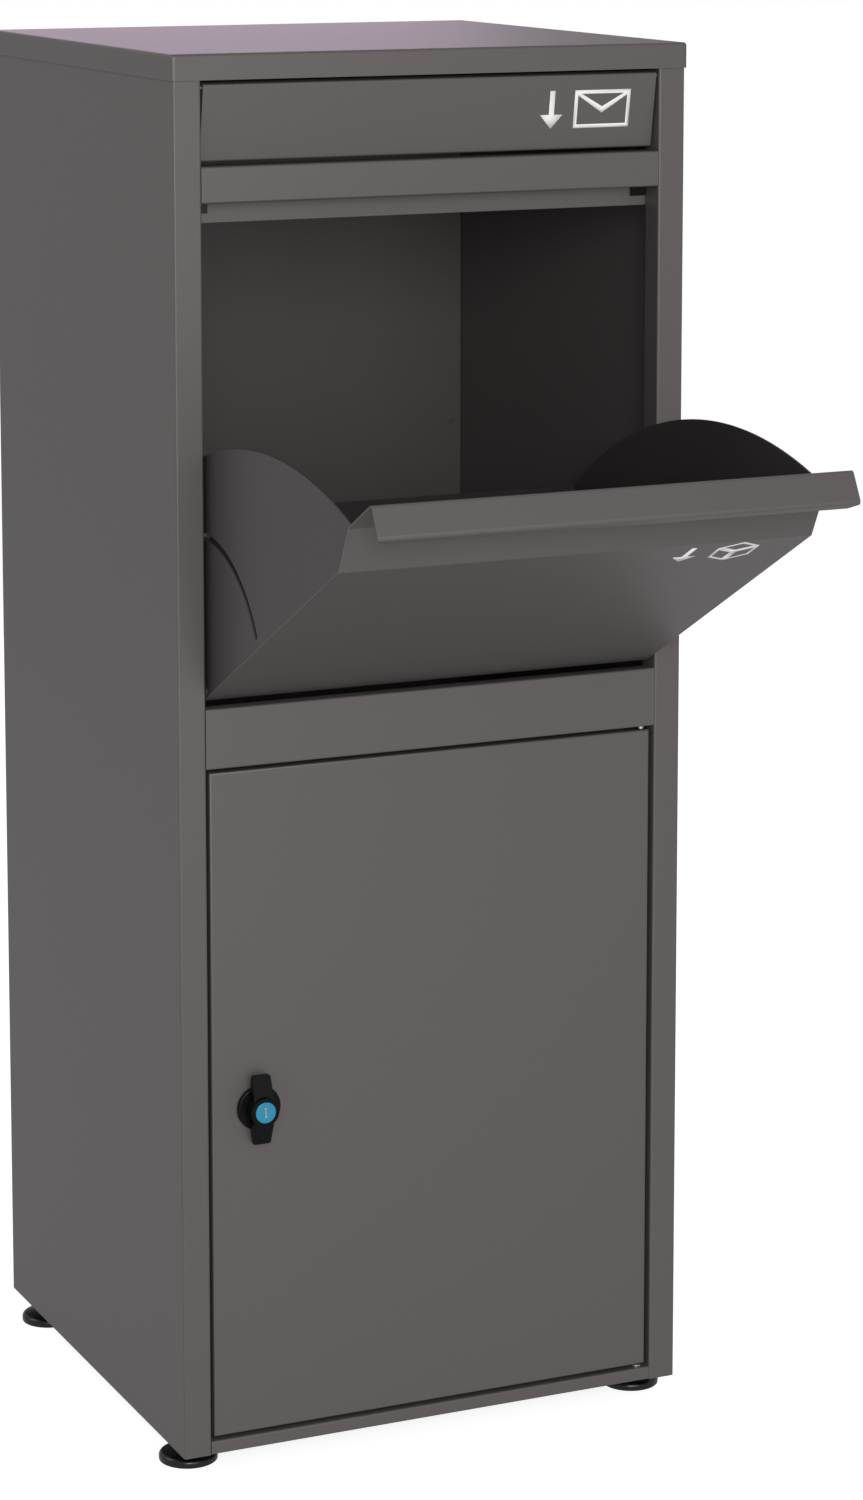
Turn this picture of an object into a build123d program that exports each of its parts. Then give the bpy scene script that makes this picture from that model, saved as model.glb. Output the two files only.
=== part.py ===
"""Parcel drop box: a free-standing sheet-steel cabinet with a letter flap, a tipping parcel drawer
and a locked collection door, on four levelling feet.

Frame: millimetres, +Z up, the floor at Z = 0. X = 0 is the cabinet's middle, -Y is its front.
The origin lies under the middle of the whole box with the parcel drawer open, as it is made here.
"""

import os
from math import atan2, cos, degrees, hypot, radians, sin

from build123d import *

# Driving dimensions, in millimetres and degrees.
WIDTH = 400.0
DEPTH = 390.0
HEIGHT = 1034.0
SHEET = 1.2
FOLD = 1.6  # outer radius of a fold

FRONT = -46.0  # the cabinet's front plane
BACK = FRONT + DEPTH
FLOOR_GAP = 16.0  # the cabinet's underside above the floor, feet screwed right in

COLUMN = 21.0  # width of a front column
RETURN = 20.0  # depth of a column's return into the opening, and of a rail's flanges
REAR_FLANGE = 18.0

CAP_SKIRT = 18.5
CAP_OVERHANG = 1.5
CAP_CLEARANCE = 0.3

BOTTOM_RAIL_TOP = 26.0
MIDDLE_RAIL = (526.0, 570.0)
MIDDLE_RAIL_LEDGE = 11.0  # its top flange, short enough for the closing hopper to come down behind it
UPPER_RAIL = (929.3, 955.2)

DRAWER_PIVOT_Y = FRONT + 5.0
DRAWER_PIVOT_Z = 582.5
DRAWER_OPEN = 61.5  # how far the drawer tips forward
DRAWER_HALF = 177.0
DRAWER_FACE = -5.0  # the panel's outer face, measured inward from the pivot
FOLD_AT = 271.0  # where the panel bends inward, up the panel from the pivot
RECESS_AT = 301.0  # where the bend ends and the grip recess begins
RECESS_DEPTH = 15.0  # the recess's face, measured inward from the pivot
LEDGE_TOP = 344.8
LEDGE_FACE = -8.4
LEDGE_HEM = 335.5
CHEEK_RADIUS = 413.0
CHEEK_CENTRE = (-4.0, -256.0)
HOPPER_ANGLE = 109.0  # from the panel round to the hopper's back plate
HOPPER_REACH = 165.0
HOPPER_DROP = 8.0  # the back plate's underside below the pivot
DRAWER_PIN_RADIUS = 2.0
STUD_Y = FRONT + 10.0
STUD_Z = 694.0
STUD_RADIUS = 2.0
SLOT_WIDTH = 5.0

FLAP_PIVOT_Y = FRONT + 6.2
FLAP_PIVOT_Z = 1010.0
FLAP_TILT = 9.4  # how far in the flap's lower edge hangs
FLAP_HALF = 177.0
FLAP_FACE = -5.2
FLAP_TOP = -3.4
FLAP_BOTTOM = 52.0
FLAP_PIN_RADIUS = 1.75

DOOR_HALF = 176.0
DOOR_BOTTOM = 28.5
DOOR_TOP = 523.0
DOOR_FACE = FRONT + 2.0
DOOR_PAN = 15.0
DOOR_LIP = 12.0
DOOR_PIVOT_X = 171.0
DOOR_PIVOT_Y = FRONT + 7.0
DOOR_PIN_RADIUS = 3.0

LOCK_X = -140.4
LOCK_Z = 273.0

FOOT_X = WIDTH / 2 - 17.5
FOOT_Y = (FRONT + 39.0, BACK - 39.0)
PAD_RADIUS = 21.75
STUD_M8 = 4.0

ANCHOR_SPACING = 240.0
ANCHOR_RADIUS = 5.0

RUNNING = 0.05  # radial clearance of every turning or sliding fit

RIVET_SHANK = 2.0
RIVET_HEAD = 3.6
RIVET_HEAD_HEIGHT = 1.2
RIVET_DOME = 30  # degrees that a rivet's head tapers by
RIVET_TAIL = 3.0
PIN_HEAD = 3.6  # radius of a drawer pin's or stud's head

# Worked out from the driving dimensions.
SIDE_INNER = WIDTH / 2 - SHEET
OPENING_HALF = WIDTH / 2 - COLUMN
CAP_UNDERSIDE = HEIGHT - SHEET
CAP_BOTTOM = HEIGHT - CAP_SKIRT
MIDDLE_Y = FRONT + DEPTH / 2
BACK_PANEL_Y = BACK - SHEET  # the back panel lies inside the side panels' rear flanges
RETURN_INNER = OPENING_HALF + SHEET  # the far face of a column's return, from the middle
PANEL_INNER = DRAWER_FACE + SHEET
CHEEK_INNER = DRAWER_HALF - SHEET

TILT = radians(DRAWER_OPEN)
DRAWER_UP = (0, -sin(TILT), cos(TILT))  # up the open drawer's panel


def drawer_plane(x):
    """The drawer's side view at this X: local x runs up the panel, local y inward, both from the pivot."""
    return Plane(origin=(x, DRAWER_PIVOT_Y, DRAWER_PIVOT_Z), x_dir=DRAWER_UP, z_dir=(-1, 0, 0))


def hopper_point(along, drop):
    """A point beside the hopper's back plate: along it from the pivot, and below the pivot by drop."""
    turn = radians(HOPPER_ANGLE)
    return (along * cos(turn) - drop * sin(turn), along * sin(turn) + drop * cos(turn))


def hopper_meets(depth, drop):
    """Where the line beside the back plate, at this drop below the pivot, crosses this inward depth."""
    turn = radians(HOPPER_ANGLE)
    return hopper_point((depth - drop * cos(turn)) / sin(turn), drop)


def flap_plane(x):
    """The hanging flap's side view at this X: local x runs down the flap, local y inward."""
    tilt = radians(FLAP_TILT)
    return Plane(
        origin=(x, FLAP_PIVOT_Y, FLAP_PIVOT_Z), x_dir=(0, sin(tilt), -cos(tilt)), z_dir=(1, 0, 0)
    )


def facing_x(x):
    """A plane across X at this x: local x is the row's Y, local y its Z."""
    return Plane.YZ.offset(x)


def facing_front(y):
    """A plane facing the front at this y: local x is the row's X, local y its Z, extruded forward."""
    return Plane(origin=(0, y, 0), x_dir=(1, 0, 0), z_dir=(0, -1, 0))


os.makedirs("parts", exist_ok=True)


def keep(part, name):
    """Label a finished piece and write it."""
    part.label = name
    export_step(part, f"parts/{name}.step")


# --- Cabinet ------------------------------------------------------------------------------------

# A side panel and its front column are one folded sheet. Holes: drawer pivot, stop stud, flap pin.
REAR_RIVET_LOWEST = 90.0
REAR_RIVET_PITCH = 205.0
REAR_RIVET_ZS = [REAR_RIVET_LOWEST + REAR_RIVET_PITCH * i for i in range(5)]
REAR_RIVET_X = WIDTH / 2 - 10.0
CAP_SCREW_Z = CAP_BOTTOM + 8.0

with BuildPart() as left_side_panel:
    with BuildSketch(Plane.XY.offset(FLOOR_GAP)):
        with BuildLine():
            FilletPolyline(
                (-OPENING_HALF, FRONT + RETURN),
                (-OPENING_HALF, FRONT),
                (-WIDTH / 2, FRONT),
                (-WIDTH / 2, BACK),
                (-WIDTH / 2 + REAR_FLANGE, BACK),
                radius=FOLD,
            )
            offset(amount=SHEET, side=Side.RIGHT)
        make_face()
    extrude(amount=CAP_UNDERSIDE - FLOOR_GAP)
    with BuildSketch(facing_x(-OPENING_HALF)):
        with Locations((DRAWER_PIVOT_Y, DRAWER_PIVOT_Z)):
            Circle(DRAWER_PIN_RADIUS)
        with Locations((STUD_Y, STUD_Z)):
            Circle(STUD_RADIUS)
        with Locations((FLAP_PIVOT_Y, FLAP_PIVOT_Z)):
            Circle(FLAP_PIN_RADIUS + RUNNING)
    extrude(amount=-SHEET, mode=Mode.SUBTRACT)
    with BuildSketch(facing_front(BACK)):
        with Locations(*[(-REAR_RIVET_X, z) for z in REAR_RIVET_ZS]):
            Circle(RIVET_SHANK)
        with Locations((-REAR_RIVET_X, CAP_SCREW_Z)):
            Circle(RIVET_SHANK)
    extrude(amount=SHEET, mode=Mode.SUBTRACT)
keep(left_side_panel.part, "left_side_panel")
keep(mirror(left_side_panel.part, about=Plane.YZ), "right_side_panel")

with BuildPart() as back_panel:
    with BuildSketch(facing_front(BACK_PANEL_Y)):
        with Locations((0, (FLOOR_GAP + SHEET + CAP_UNDERSIDE) / 2)):
            Rectangle(2 * (SIDE_INNER - 0.5), CAP_UNDERSIDE - FLOOR_GAP - SHEET)
        with Locations(*[(x, z) for x in (-REAR_RIVET_X, REAR_RIVET_X) for z in REAR_RIVET_ZS]):
            Circle(RIVET_SHANK, mode=Mode.SUBTRACT)
        with Locations((-REAR_RIVET_X, CAP_SCREW_Z), (REAR_RIVET_X, CAP_SCREW_Z)):
            Circle(RIVET_SHANK, mode=Mode.SUBTRACT)
    extrude(amount=SHEET)
keep(back_panel.part, "back_panel")

# The floor of the cabinet: a shallow pan with anchor holes and a hole for each foot's stud.
BASE_FRONT = FRONT + RETURN
BASE_BACK = BACK_PANEL_Y - SHEET
BASE_UPSTAND = 18.0
BASE_RELIEF = 60.0  # what an upstand stops short by, both ends together
with BuildPart() as base_panel:
    with BuildSketch(Plane.XY.offset(FLOOR_GAP)):
        with Locations((0, (BASE_FRONT + BASE_BACK) / 2)):
            Rectangle(2 * SIDE_INNER, BASE_BACK - BASE_FRONT)
    extrude(amount=SHEET)
    with BuildSketch(Plane.XY.offset(FLOOR_GAP + SHEET)):
        with Locations((0, BASE_FRONT + SHEET / 2)):
            Rectangle(2 * OPENING_HALF, SHEET)
    extrude(amount=BOTTOM_RAIL_TOP - FLOOR_GAP - SHEET)
    with BuildSketch(Plane.XY.offset(FLOOR_GAP + SHEET)):
        with Locations(*[(side * (SIDE_INNER - SHEET / 2), MIDDLE_Y) for side in (-1, 1)]):
            Rectangle(SHEET, DEPTH - BASE_RELIEF)
        with Locations((0, BASE_BACK - SHEET / 2)):
            Rectangle(2 * SIDE_INNER - BASE_RELIEF, SHEET)
    extrude(amount=BASE_UPSTAND)
    with BuildSketch(Plane.XY.offset(FLOOR_GAP)):
        with Locations((0, MIDDLE_Y)):
            with GridLocations(ANCHOR_SPACING, ANCHOR_SPACING, 2, 2):
                Circle(ANCHOR_RADIUS)
        with Locations(*[(x, y) for x in (-FOOT_X, FOOT_X) for y in FOOT_Y]):
            Circle(STUD_M8 + RUNNING)
    extrude(amount=SHEET, mode=Mode.SUBTRACT)
keep(base_panel.part, "base_panel")

CAP_CORNER = 3.0
CAP_EDGE = 2.4
with BuildPart() as top_cap:
    with BuildSketch(Plane.XY.offset(CAP_BOTTOM)):
        with Locations((0, MIDDLE_Y)):
            Rectangle(WIDTH + 2 * CAP_OVERHANG, DEPTH + 2 * CAP_OVERHANG)
    extrude(amount=CAP_SKIRT)
    fillet(top_cap.edges().filter_by(Axis.Z), radius=CAP_CORNER)
    fillet(top_cap.faces().sort_by(Axis.Z)[-1].edges(), radius=CAP_EDGE)
    with BuildSketch(Plane.XY.offset(CAP_BOTTOM)):
        with Locations((0, MIDDLE_Y)):
            RectangleRounded(WIDTH + 2 * CAP_CLEARANCE, DEPTH + 2 * CAP_CLEARANCE, CAP_CORNER - SHEET)
    extrude(amount=CAP_SKIRT - SHEET, mode=Mode.SUBTRACT)
    with BuildSketch(facing_front(BACK + CAP_OVERHANG)):
        with Locations((-REAR_RIVET_X, CAP_SCREW_Z), (REAR_RIVET_X, CAP_SCREW_Z)):
            Circle(RIVET_SHANK)
    extrude(amount=SHEET, mode=Mode.SUBTRACT)
keep(top_cap.part, "top_cap")


def folded_rail(low, high, ledge=RETURN, pin_from=None):
    """A cross rail: a face, flanges along its edges, the top one this deep, and a door pin's hole."""
    with BuildPart() as rail:
        with BuildSketch(facing_x(-OPENING_HALF)):
            with BuildLine():
                FilletPolyline(
                    (FRONT + RETURN, low),
                    (FRONT, low),
                    (FRONT, high),
                    (FRONT + ledge, high),
                    radius=FOLD,
                )
                offset(amount=SHEET, side=Side.RIGHT)
            make_face()
        extrude(amount=2 * OPENING_HALF)
        if pin_from is not None:
            with BuildSketch(Plane.XY.offset(pin_from)):
                with Locations((DOOR_PIVOT_X, DOOR_PIVOT_Y)):
                    Circle(DOOR_PIN_RADIUS)
            extrude(amount=SHEET, mode=Mode.SUBTRACT)
    return rail.part


keep(folded_rail(*UPPER_RAIL), "upper_rail")
keep(folded_rail(*MIDDLE_RAIL, MIDDLE_RAIL_LEDGE, MIDDLE_RAIL[0]), "middle_rail")
keep(folded_rail(FLOOR_GAP, BOTTOM_RAIL_TOP, pin_from=BOTTOM_RAIL_TOP - SHEET), "bottom_rail")

# The letter tray: its front flange is the closed drawer's stop, its floor falls towards the back.
TRAY_FRONT = FRONT + 21.5
TRAY_HALF = SIDE_INNER - 0.4
TRAY_TOP = 953.0
TRAY_LOW = 914.0
TRAY_NOTCH = (12.5, 7.0)
TRAY_END = (FRONT + 240.0, 925.0)
TRAY_LIP = 10.0
TRAY_NOTCH_TALL = 12.0
with BuildPart() as letter_tray:
    with BuildSketch(facing_x(-TRAY_HALF)):
        with BuildLine():
            FilletPolyline(
                (TRAY_FRONT, TRAY_LOW),
                (TRAY_FRONT, TRAY_TOP),
                TRAY_END,
                (TRAY_END[0], TRAY_END[1] - TRAY_LIP),
                radius=FOLD,
            )
            offset(amount=SHEET, side=Side.RIGHT)
        make_face()
    extrude(amount=2 * TRAY_HALF)
    with BuildSketch(facing_front(TRAY_FRONT + SHEET)):
        for side in (-1, 1):
            with Locations((side * (OPENING_HALF - TRAY_NOTCH[0]), TRAY_LOW + TRAY_NOTCH[1])):
                Rectangle(
                    COLUMN + TRAY_NOTCH[0],
                    TRAY_NOTCH_TALL,
                    align=(Align.MIN if side > 0 else Align.MAX, Align.MIN),
                )
    extrude(amount=SHEET, mode=Mode.SUBTRACT)
keep(letter_tray.part, "letter_tray")


def turned_pin(name, plane, steps):
    """A turned pin on a plane: steps is a list of (radius, from, to) along the plane's normal."""
    with BuildPart() as pin:
        for radius, start, end in steps:
            with BuildSketch(plane.offset(start)):
                Circle(radius)
            extrude(amount=end - start)
    pin.part.label = name
    return pin.part


def pair(part):
    """The same piece at the left and at the right, as one node of two solids."""
    return Compound(children=[part, mirror(part, about=Plane.YZ)])


PIN_HEAD_HEIGHT = 1.8
DRAWER_PIVOT_RIGHT = Plane(origin=(0, DRAWER_PIVOT_Y, DRAWER_PIVOT_Z), x_dir=(0, 1, 0), z_dir=(1, 0, 0))
drawer_pivot_pin = turned_pin(
    "drawer_pivot_pin",
    DRAWER_PIVOT_RIGHT,
    [
        (DRAWER_PIN_RADIUS, CHEEK_INNER - SHEET, RETURN_INNER),
        (PIN_HEAD, RETURN_INNER, RETURN_INNER + PIN_HEAD_HEIGHT),
    ],
)
keep(pair(drawer_pivot_pin), "drawer_pivot_pins")

STUD_HEAD_AT = CHEEK_INNER - 1.6  # the head runs clear of the cheek's inside
STUD_RIGHT = Plane(origin=(0, STUD_Y, STUD_Z), x_dir=(0, 1, 0), z_dir=(1, 0, 0))
drawer_stop_stud = turned_pin(
    "drawer_stop_stud",
    STUD_RIGHT,
    [
        (PIN_HEAD, STUD_HEAD_AT - PIN_HEAD_HEIGHT, STUD_HEAD_AT),
        (STUD_RADIUS, STUD_HEAD_AT, RETURN_INNER),
        (PIN_HEAD, RETURN_INNER, RETURN_INNER + PIN_HEAD_HEIGHT),
    ],
)
keep(pair(drawer_stop_stud), "drawer_stop_studs")

DOOR_PIVOT = Plane(origin=(DOOR_PIVOT_X, DOOR_PIVOT_Y, 0))
DOOR_PIN_HEAD = 4.6
DOOR_PIN_HEAD_HEIGHT = 2.0
DOOR_PIN_IN_DOOR = 15.0  # how far a pin reaches into the door
DOOR_BUSH_FLANGE = 0.6
BOTTOM_RAIL_UNDER = BOTTOM_RAIL_TOP - SHEET
COLLAR_TOP = DOOR_BOTTOM - DOOR_BUSH_FLANGE - 0.1
TOP_PIN_HEAD_AT = MIDDLE_RAIL[0] + 10.0  # the top pin lifts out: its head stands above the rail
keep(
    turned_pin(
        "door_hinge_pin_bottom",
        DOOR_PIVOT,
        [
            (DOOR_PIN_HEAD, BOTTOM_RAIL_UNDER - DOOR_PIN_HEAD_HEIGHT, BOTTOM_RAIL_UNDER),
            (DOOR_PIN_RADIUS, BOTTOM_RAIL_UNDER, BOTTOM_RAIL_TOP),
            (DOOR_PIN_HEAD, BOTTOM_RAIL_TOP, COLLAR_TOP),
            (DOOR_PIN_RADIUS, COLLAR_TOP, DOOR_BOTTOM + DOOR_PIN_IN_DOOR),
        ],
    ),
    "door_hinge_pin_bottom",
)
keep(
    turned_pin(
        "door_hinge_pin_top",
        DOOR_PIVOT,
        [
            (DOOR_PIN_RADIUS, DOOR_TOP - DOOR_PIN_IN_DOOR, TOP_PIN_HEAD_AT),
            (DOOR_PIN_HEAD, TOP_PIN_HEAD_AT, TOP_PIN_HEAD_AT + DOOR_PIN_HEAD_HEIGHT),
        ],
    ),
    "door_hinge_pin_top",
)

PIN_CLIP_RADIUS = 5.2
PIN_CLIP_SHEET = 0.8
with BuildPart() as door_pin_clip:
    with BuildSketch(Plane.XY.offset(MIDDLE_RAIL[0] + SHEET)):
        with Locations((DOOR_PIVOT_X, DOOR_PIVOT_Y)):
            Circle(PIN_CLIP_RADIUS)
            Circle(DOOR_PIN_RADIUS, mode=Mode.SUBTRACT)
    extrude(amount=PIN_CLIP_SHEET)
keep(door_pin_clip.part, "door_pin_clip")

# Two small angle clips on the left column that the closed door comes up against.
STOP_TAB_Y = DOOR_FACE + DOOR_PAN + 0.4
STOP_TAB_WIDTH = 10.0
STOP_FRONT_Y = FRONT + 9.0
STOP_LOWS = (96.0, 430.0)
STOP_TALL = 22.0
with BuildPart() as door_stops:
    for low in STOP_LOWS:
        with BuildSketch(Plane.XY.offset(low)):
            with BuildLine():
                Polyline(
                    (-OPENING_HALF, STOP_FRONT_Y),
                    (-OPENING_HALF, STOP_TAB_Y + SHEET),
                    (-OPENING_HALF + STOP_TAB_WIDTH, STOP_TAB_Y + SHEET),
                )
                offset(amount=SHEET, side=Side.RIGHT)
            make_face()
        extrude(amount=STOP_TALL)
keep(door_stops.part, "door_stops")

FOOT_PLACES = {
    "front_left": (-FOOT_X, FOOT_Y[0]),
    "front_right": (FOOT_X, FOOT_Y[0]),
    "back_left": (-FOOT_X, FOOT_Y[1]),
    "back_right": (FOOT_X, FOOT_Y[1]),
}
INSERT_HEIGHT = 6.5
M8_NUT = 7.4  # radius across the corners
LOCK_NUT_LOW = 11.5
with BuildPart() as foot_inserts:
    with BuildSketch(Plane.XY.offset(FLOOR_GAP + SHEET)):
        with Locations(*FOOT_PLACES.values()):
            RegularPolygon(M8_NUT, 6)
            Circle(STUD_M8 + RUNNING, mode=Mode.SUBTRACT)
    extrude(amount=INSERT_HEIGHT)
keep(foot_inserts.part, "foot_inserts")

with BuildPart() as foot_lock_nuts:
    with BuildSketch(Plane.XY.offset(LOCK_NUT_LOW)):
        with Locations(*FOOT_PLACES.values()):
            RegularPolygon(M8_NUT, 6)
            Circle(STUD_M8 + RUNNING, mode=Mode.SUBTRACT)
    extrude(amount=FLOOR_GAP - LOCK_NUT_LOW)
keep(foot_lock_nuts.part, "foot_lock_nuts")

# Pan-head screws through the cap's rear skirt, each into a nut.
CAP_SCREW_HEAD = (4.0, 2.2, 24)  # radius, height and taper
CAP_NUT = (4.2, 3.0)  # radius across the corners and height
CAP_SCREW_SPARE = 5.0
with BuildPart() as cap_screws:
    for x in (-REAR_RIVET_X, REAR_RIVET_X):
        with BuildSketch(Plane(origin=(x, BACK + CAP_OVERHANG, CAP_SCREW_Z), z_dir=(0, 1, 0))):
            Circle(CAP_SCREW_HEAD[0])
        extrude(amount=CAP_SCREW_HEAD[1], taper=CAP_SCREW_HEAD[2])
        with BuildSketch(Plane(origin=(x, BACK + CAP_OVERHANG, CAP_SCREW_Z), z_dir=(0, -1, 0))):
            Circle(RIVET_SHANK)
        extrude(amount=CAP_OVERHANG + 2 * SHEET + CAP_SCREW_SPARE)
        with BuildSketch(Plane(origin=(x, BACK - 2 * SHEET, CAP_SCREW_Z), z_dir=(0, -1, 0))):
            RegularPolygon(CAP_NUT[0], 6)
        extrude(amount=CAP_NUT[1])
keep(cap_screws.part, "cap_screws")

with BuildPart() as back_rivets:
    for x in (-REAR_RIVET_X, REAR_RIVET_X):
        for z in REAR_RIVET_ZS:
            with BuildSketch(Plane(origin=(x, BACK, z), z_dir=(0, 1, 0))):
                Circle(RIVET_HEAD)
            extrude(amount=RIVET_HEAD_HEIGHT, taper=RIVET_DOME)
            with BuildSketch(Plane(origin=(x, BACK, z), z_dir=(0, -1, 0))):
                Circle(RIVET_SHANK)
            extrude(amount=2 * SHEET)
            with BuildSketch(Plane(origin=(x, BACK - 2 * SHEET, z), z_dir=(0, -1, 0))):
                Circle(RIVET_TAIL)
            extrude(amount=RIVET_HEAD_HEIGHT)
keep(back_rivets.part, "back_rivets")

# --- Parcel drawer ------------------------------------------------------------------------------

PANEL_FOOT = -7.0  # the panel's lower edge, from the pivot
LEDGE_NOTCH = 7.0  # the slant at each end of the ledge's lower edge
with BuildPart() as drawer_front:
    with BuildSketch(drawer_plane(DRAWER_HALF)):
        with BuildLine():
            FilletPolyline(
                (PANEL_FOOT, DRAWER_FACE),
                (FOLD_AT, DRAWER_FACE),
                (RECESS_AT, RECESS_DEPTH),
                (LEDGE_TOP - SHEET, RECESS_DEPTH),
                (LEDGE_TOP - SHEET, LEDGE_FACE + SHEET),
                (LEDGE_HEM, LEDGE_FACE + SHEET),
                radius=FOLD,
            )
            offset(amount=SHEET, side=Side.LEFT)
        make_face()
    extrude(amount=2 * DRAWER_HALF)
    ledge_front = Plane(
        origin=drawer_plane(0).from_local_coords((0, LEDGE_FACE - 1.0, 0)),
        x_dir=DRAWER_UP,
        z_dir=drawer_plane(0).y_dir,
    )
    with BuildSketch(ledge_front):
        for side in (-1, 1):
            with BuildLine():
                Polyline(
                    (LEDGE_HEM - 1, side * (DRAWER_HALF - LEDGE_NOTCH)),
                    (LEDGE_HEM - 1, side * (DRAWER_HALF + 1)),
                    (LEDGE_HEM + LEDGE_NOTCH, side * (DRAWER_HALF + 1)),
                    close=True,
                )
            make_face()
    extrude(amount=3.0, mode=Mode.SUBTRACT)
keep(drawer_front.part, "drawer_front")

RIVET_ALONG = (40.0, 90.0, 140.0)
RIVET_X = DRAWER_HALF - SHEET - 8.0


def hopper_rivet_plane(along, side=1):
    """A plane on the back plate's underside at a rivet, facing up into the hopper."""
    view = drawer_plane(side * RIVET_X)
    under = view.from_local_coords((*hopper_point(along, HOPPER_DROP), 0))
    above = view.from_local_coords((*hopper_point(along, HOPPER_DROP - 1), 0))
    return Plane(origin=under, x_dir=(1, 0, 0), z_dir=above - under)


# One cheek: a plate with a curved edge, an arc slot about the pivot and two welding flanges.
BUSH_RADIUS = 3.0
BUSH_RIM = (4.5, 1.7)  # radius and thickness, between the cheek and the column
CHEEK_FLANGE = 14.0
FRONT_FLANGE = (30.0, 260.0)  # from and to, up the panel
BACK_FLANGE = (16.0, 158.0)  # from and to, along the back plate
STUD_OFFSET = (STUD_Y - DRAWER_PIVOT_Y, STUD_Z - DRAWER_PIVOT_Z)
SLOT_RADIUS = hypot(*STUD_OFFSET)
STUD_SWING = degrees(atan2(*STUD_OFFSET))  # from straight up round to the stud
SLOT_START = STUD_SWING - 0.4
SLOT_END = STUD_SWING + DRAWER_OPEN - 0.245  # the stud rests against this end
SLOT_LINE = CenterArc((0, 0), SLOT_RADIUS, SLOT_START, SLOT_END - SLOT_START)
with BuildPart() as drawer_cheek_right:
    with BuildSketch(drawer_plane(DRAWER_HALF)):
        with BuildLine():
            Polyline(
                hopper_meets(PANEL_INNER, HOPPER_DROP),
                (FOLD_AT - 0.4, PANEL_INNER),
                (RECESS_AT - 0.4, RECESS_DEPTH + SHEET),
                (CHEEK_RADIUS, RECESS_DEPTH + SHEET),
                (CHEEK_RADIUS, CHEEK_RADIUS),
                hopper_point(CHEEK_RADIUS, HOPPER_DROP),
                close=True,
            )
        make_face()
        with Locations(CHEEK_CENTRE):
            Circle(CHEEK_RADIUS, mode=Mode.INTERSECT)
        Circle(BUSH_RADIUS, mode=Mode.SUBTRACT)
        SlotArc(SLOT_LINE, SLOT_WIDTH, mode=Mode.SUBTRACT)
    extrude(amount=SHEET)
    with BuildSketch(drawer_plane(CHEEK_INNER)):
        with Locations((sum(FRONT_FLANGE) / 2, PANEL_INNER + SHEET / 2)):
            Rectangle(FRONT_FLANGE[1] - FRONT_FLANGE[0], SHEET)
        with BuildLine():
            Polyline(
                hopper_point(BACK_FLANGE[0], HOPPER_DROP - SHEET),
                hopper_point(BACK_FLANGE[1], HOPPER_DROP - SHEET),
                hopper_point(BACK_FLANGE[1], HOPPER_DROP - 2 * SHEET),
                hopper_point(BACK_FLANGE[0], HOPPER_DROP - 2 * SHEET),
                close=True,
            )
        make_face()
    extrude(amount=CHEEK_FLANGE)
    for along in RIVET_ALONG:
        with BuildSketch(hopper_rivet_plane(along)):
            Circle(RIVET_SHANK)
        extrude(amount=2 * SHEET, mode=Mode.SUBTRACT)
keep(drawer_cheek_right.part, "drawer_cheek_right")
keep(mirror(drawer_cheek_right.part, about=Plane.YZ), "drawer_cheek_left")

# The hopper's back plate: a flange behind the panel, the floor and a stiffening hem.
PLATE_FLANGE_TOP = 26.0
PLATE_HEM = 15.0
with BuildPart() as drawer_back_plate:
    with BuildSketch(drawer_plane(CHEEK_INNER)):
        with BuildLine():
            FilletPolyline(
                (PLATE_FLANGE_TOP, PANEL_INNER + SHEET),
                hopper_meets(PANEL_INNER + SHEET, HOPPER_DROP - SHEET),
                hopper_point(HOPPER_REACH, HOPPER_DROP - SHEET),
                hopper_point(HOPPER_REACH, PLATE_HEM),
                radius=0.5,
            )
            offset(amount=SHEET, side=Side.LEFT)
        make_face()
    extrude(amount=2 * CHEEK_INNER)
    for side in (-1, 1):
        for along in RIVET_ALONG:
            with BuildSketch(hopper_rivet_plane(along, side)):
                Circle(RIVET_SHANK)
            extrude(amount=SHEET, mode=Mode.SUBTRACT)
keep(drawer_back_plate.part, "drawer_back_plate")

with BuildPart() as drawer_bush:
    with BuildSketch(DRAWER_PIVOT_RIGHT.offset(CHEEK_INNER)):
        Circle(BUSH_RADIUS)
    extrude(amount=SHEET)
    with BuildSketch(DRAWER_PIVOT_RIGHT.offset(DRAWER_HALF)):
        Circle(BUSH_RIM[0])
    extrude(amount=BUSH_RIM[1])
    with BuildSketch(DRAWER_PIVOT_RIGHT.offset(CHEEK_INNER)):
        Circle(DRAWER_PIN_RADIUS + RUNNING)
    extrude(amount=SHEET + BUSH_RIM[1], mode=Mode.SUBTRACT)
keep(pair(drawer_bush.part), "drawer_bushes")

with BuildPart() as drawer_rivets:
    for side in (-1, 1):
        for along in RIVET_ALONG:
            rivet_plane = hopper_rivet_plane(along, side)
            with BuildSketch(rivet_plane):
                Circle(RIVET_SHANK)
            extrude(amount=2 * SHEET)
            with BuildSketch(rivet_plane):
                Circle(RIVET_HEAD)
            extrude(amount=-RIVET_HEAD_HEIGHT, taper=RIVET_DOME)
            with BuildSketch(rivet_plane.offset(2 * SHEET)):
                Circle(RIVET_TAIL)
            extrude(amount=RIVET_HEAD_HEIGHT)
keep(drawer_rivets.part, "drawer_rivets")

# --- Letter flap --------------------------------------------------------------------------------

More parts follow.
